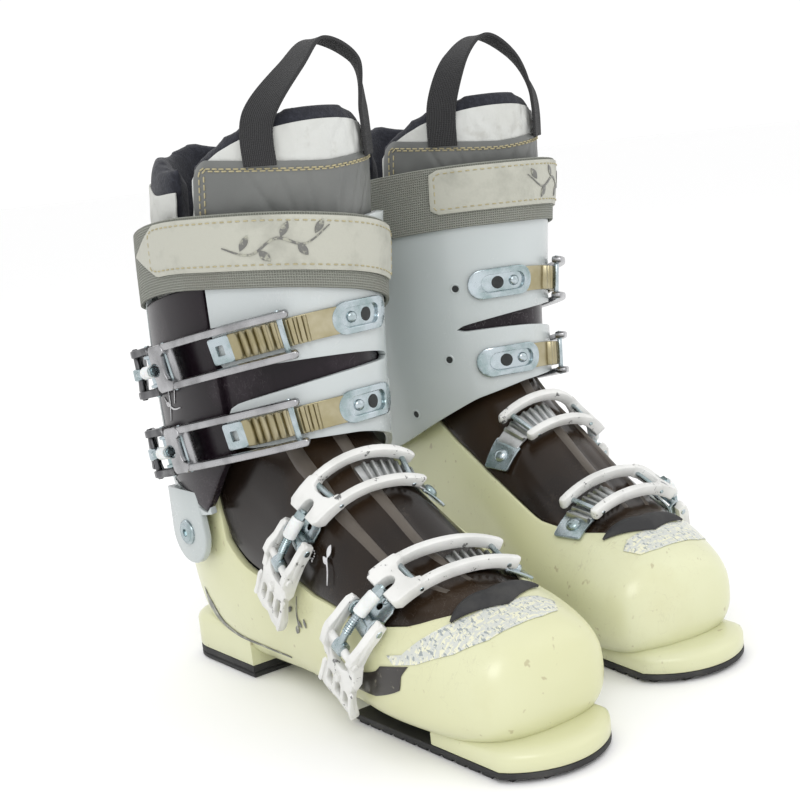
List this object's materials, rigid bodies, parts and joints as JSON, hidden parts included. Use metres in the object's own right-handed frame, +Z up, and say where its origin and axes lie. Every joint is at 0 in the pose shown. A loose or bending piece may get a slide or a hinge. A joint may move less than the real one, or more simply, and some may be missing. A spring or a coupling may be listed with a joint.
{
  "type": "pair of alpine ski boots",
  "caption": "Pair of alpine ski boots with buckled hard shells, hinged cuffs, power straps and padded inner boots with pull loops.",
  "frame": {"origin": "centre of the pair's footprint, on the ground under the soles", "axes": "+Z up, toes towards -Y, the wearer's right boot on the -X side"},
  "size_m": [0.2825, 0.3333, 0.3369],
  "materials": {
    "cream_shell": "semi-gloss, scuffed",
    "smoked_flap": "translucent, semi-gloss",
    "black_rubber": "matt, worn",
    "pearl_cuff": "pearl, semi-gloss",
    "dark_insert": "semi-gloss with fine pale line ornament",
    "zinc_steel": "zinc plated",
    "white_enamel": "white enamel with chips",
    "polished_alloy": "polished",
    "silver_ladder": "satin",
    "brass_ladder": "satin, tarnished",
    "liner_leather": "embossed, matt",
    "black_fleece": "fleece",
    "black_webbing": "ribbed webbing",
    "grey_webbing": "coarse webbing"
  },
  "bodies": {
    "right_boot": {"right_lower_shell": "cream_shell", "right_instep_cover": "smoked_flap", "right_toe_bumper": "black_rubber", "right_toe_sole": "black_rubber", "right_heel_sole": "black_rubber", "right_inner_pivot": "zinc_steel", "right_outer_pivot": "zinc_steel", "right_liner_bootie": "black_fleece", "right_toe_bracket": "zinc_steel", "right_toe_ladder": "silver_ladder", "right_instep_bracket": "zinc_steel", "right_instep_ladder": "silver_ladder"},
    "right_cuff": {"right_cuff": "pearl_cuff", "right_cuff_insert": "dark_insert", "right_liner_collar": "liner_leather", "right_tongue": "liner_leather", "right_pull_loop": "black_webbing", "right_power_strap": "grey_webbing", "right_lower_cuff_bracket": "zinc_steel", "right_lower_cuff_ladder": "brass_ladder", "right_upper_cuff_bracket": "zinc_steel", "right_upper_cuff_ladder": "brass_ladder"},
    "right_toe_lever": {"right_toe_lever": "white_enamel"},
    "right_toe_bail": {"right_toe_bail": "white_enamel"},
    "right_instep_lever": {"right_instep_lever": "white_enamel"},
    "right_instep_bail": {"right_instep_bail": "white_enamel"},
    "right_lower_cuff_lever": {"right_lower_cuff_lever": "polished_alloy"},
    "right_lower_cuff_bail": {"right_lower_cuff_bail": "polished_alloy"},
    "right_upper_cuff_lever": {"right_upper_cuff_lever": "polished_alloy"},
    "right_upper_cuff_bail": {"right_upper_cuff_bail": "polished_alloy"},
    "left_boot": {"left_lower_shell": "cream_shell", "left_instep_cover": "smoked_flap", "left_toe_bumper": "black_rubber", "left_toe_sole": "black_rubber", "left_heel_sole": "black_rubber", "left_inner_pivot": "zinc_steel", "left_outer_pivot": "zinc_steel", "left_liner_bootie": "black_fleece", "left_toe_bracket": "zinc_steel", "left_toe_ladder": "silver_ladder", "left_instep_bracket": "zinc_steel", "left_instep_ladder": "silver_ladder"},
    "left_cuff": {"left_cuff": "pearl_cuff", "left_cuff_insert": "dark_insert", "left_liner_collar": "liner_leather", "left_tongue": "liner_leather", "left_pull_loop": "black_webbing", "left_power_strap": "grey_webbing", "left_lower_cuff_bracket": "zinc_steel", "left_lower_cuff_ladder": "brass_ladder", "left_upper_cuff_bracket": "zinc_steel", "left_upper_cuff_ladder": "brass_ladder"},
    "left_toe_lever": {"left_toe_lever": "white_enamel"},
    "left_toe_bail": {"left_toe_bail": "white_enamel"},
    "left_instep_lever": {"left_instep_lever": "white_enamel"},
    "left_instep_bail": {"left_instep_bail": "white_enamel"},
    "left_lower_cuff_lever": {"left_lower_cuff_lever": "polished_alloy"},
    "left_lower_cuff_bail": {"left_lower_cuff_bail": "polished_alloy"},
    "left_upper_cuff_lever": {"left_upper_cuff_lever": "polished_alloy"},
    "left_upper_cuff_bail": {"left_upper_cuff_bail": "polished_alloy"}
  },
  "joints": [
    {"name": "left_boot_apart", "type": "slide", "parent": "right_boot", "child": "left_boot", "axis": [1, 0, 0], "range_m": [0, 0.15]},
    {"name": "right_cuff_flex", "type": "hinge", "parent": "right_boot", "child": "right_cuff", "pos_m": [-0.0723, 0.0844, 0.084], "axis": [1, 0, 0], "range_deg": [0, 5], "stiffness_Nm_per_rad": 100},
    {"name": "right_toe_lever_turn", "type": "hinge", "parent": "right_boot", "child": "right_toe_lever", "pos_m": [-0.12175, -0.07942, 0.06796], "axis": [0.0712, 0.8845, 0.4611], "range_deg": [0, 115]},
    {"name": "right_toe_bail_turn", "type": "hinge", "parent": "right_toe_lever", "child": "right_toe_bail", "pos_m": [-0.13042, -0.07027, 0.05387], "axis": [0.0755, 0.8227, 0.5634], "range_deg": [-122, 0]},
    {"name": "right_instep_lever_turn", "type": "hinge", "parent": "right_boot", "child": "right_instep_lever", "pos_m": [-0.11621, -0.01942, 0.09514], "axis": [0.1734, 0.8722, 0.4573], "range_deg": [0, 115]},
    {"name": "right_instep_bail_turn", "type": "hinge", "parent": "right_instep_lever", "child": "right_instep_bail", "pos_m": [-0.12228, -0.01049, 0.08235], "axis": [0.1568, 0.7777, 0.6087], "range_deg": [-122, 0]},
    {"name": "right_lower_cuff_lever_turn", "type": "hinge", "parent": "right_cuff", "child": "right_lower_cuff_lever", "pos_m": [-0.12873, 0.07963, 0.13185], "axis": [-0.0476, 0.2019, 0.9783], "range_deg": [0, 120]},
    {"name": "right_lower_cuff_bail_turn", "type": "hinge", "parent": "right_lower_cuff_lever", "child": "right_lower_cuff_bail", "pos_m": [-0.12902, 0.09564, 0.12882], "axis": [-0.019, 0.1937, 0.9809], "range_deg": [-127, 0]},
    {"name": "right_upper_cuff_lever_turn", "type": "hinge", "parent": "right_cuff", "child": "right_upper_cuff_lever", "pos_m": [-0.13226, 0.07762, 0.1766], "axis": [-0.0358, 0.2, 0.9791], "range_deg": [0, 120]},
    {"name": "right_upper_cuff_bail_turn", "type": "hinge", "parent": "right_upper_cuff_lever", "child": "right_upper_cuff_bail", "pos_m": [-0.13221, 0.09377, 0.17377], "axis": [0.0071, 0.1844, 0.9828], "range_deg": [-127, 0]},
    {"name": "left_cuff_flex", "type": "hinge", "parent": "left_boot", "child": "left_cuff", "pos_m": [0.07479, 0.10866, 0.084], "axis": [0.9945, -0.1045, 0], "range_deg": [0, 5], "stiffness_Nm_per_rad": 100},
    {"name": "left_toe_lever_turn", "type": "hinge", "parent": "left_boot", "child": "left_toe_lever", "pos_m": [0.10684, -0.05944, 0.06796], "axis": [-0.0217, -0.8871, -0.4611], "range_deg": [0, 115]},
    {"name": "left_toe_bail_turn", "type": "hinge", "parent": "left_toe_lever", "child": "left_toe_bail", "pos_m": [0.11643, -0.05124, 0.05387], "axis": [-0.0109, -0.8261, -0.5634], "range_deg": [-122, 0]},
    {"name": "left_instep_lever_turn", "type": "hinge", "parent": "left_boot", "child": "left_instep_lever", "pos_m": [0.1076, 0.00081, 0.09514], "axis": [0.0813, -0.8856, -0.4573], "range_deg": [0, 115]},
    {"name": "left_instep_bail_turn", "type": "hinge", "parent": "left_instep_lever", "child": "left_instep_bail", "pos_m": [0.11457, 0.00906, 0.08235], "axis": [0.0746, -0.7899, -0.6087], "range_deg": [-122, 0]},
    {"name": "left_lower_cuff_lever_turn", "type": "hinge", "parent": "left_cuff", "child": "left_lower_cuff_lever", "pos_m": [0.1304, 0.09802, 0.13185], "axis": [-0.0684, -0.1958, -0.9783], "range_deg": [0, 120]},
    {"name": "left_lower_cuff_bail_turn", "type": "hinge", "parent": "left_lower_cuff_lever", "child": "left_lower_cuff_bail", "pos_m": [0.13237, 0.11391, 0.12882], "axis": [-0.0392, -0.1906, -0.9809], "range_deg": [-127, 0]},
    {"name": "left_upper_cuff_lever_turn", "type": "hinge", "parent": "left_cuff", "child": "left_upper_cuff_lever", "pos_m": [0.13371, 0.09564, 0.1766], "axis": [-0.0566, -0.1952, -0.9791], "range_deg": [0, 120]},
    {"name": "left_upper_cuff_bail_turn", "type": "hinge", "parent": "left_upper_cuff_lever", "child": "left_upper_cuff_bail", "pos_m": [0.13535, 0.11171, 0.17377], "axis": [-0.0122, -0.1841, -0.9828], "range_deg": [-127, 0]}
  ],
  "couplings": [
    {"joint": "right_toe_bail_turn", "follows": "right_toe_lever_turn", "ratio": -1.05},
    {"joint": "right_instep_bail_turn", "follows": "right_instep_lever_turn", "ratio": -1.05},
    {"joint": "right_lower_cuff_bail_turn", "follows": "right_lower_cuff_lever_turn", "ratio": -1.05},
    {"joint": "right_upper_cuff_bail_turn", "follows": "right_upper_cuff_lever_turn", "ratio": -1.05},
    {"joint": "left_toe_bail_turn", "follows": "left_toe_lever_turn", "ratio": -1.05},
    {"joint": "left_instep_bail_turn", "follows": "left_instep_lever_turn", "ratio": -1.05},
    {"joint": "left_lower_cuff_bail_turn", "follows": "left_lower_cuff_lever_turn", "ratio": -1.05},
    {"joint": "left_upper_cuff_bail_turn", "follows": "left_upper_cuff_lever_turn", "ratio": -1.05}
  ]
}
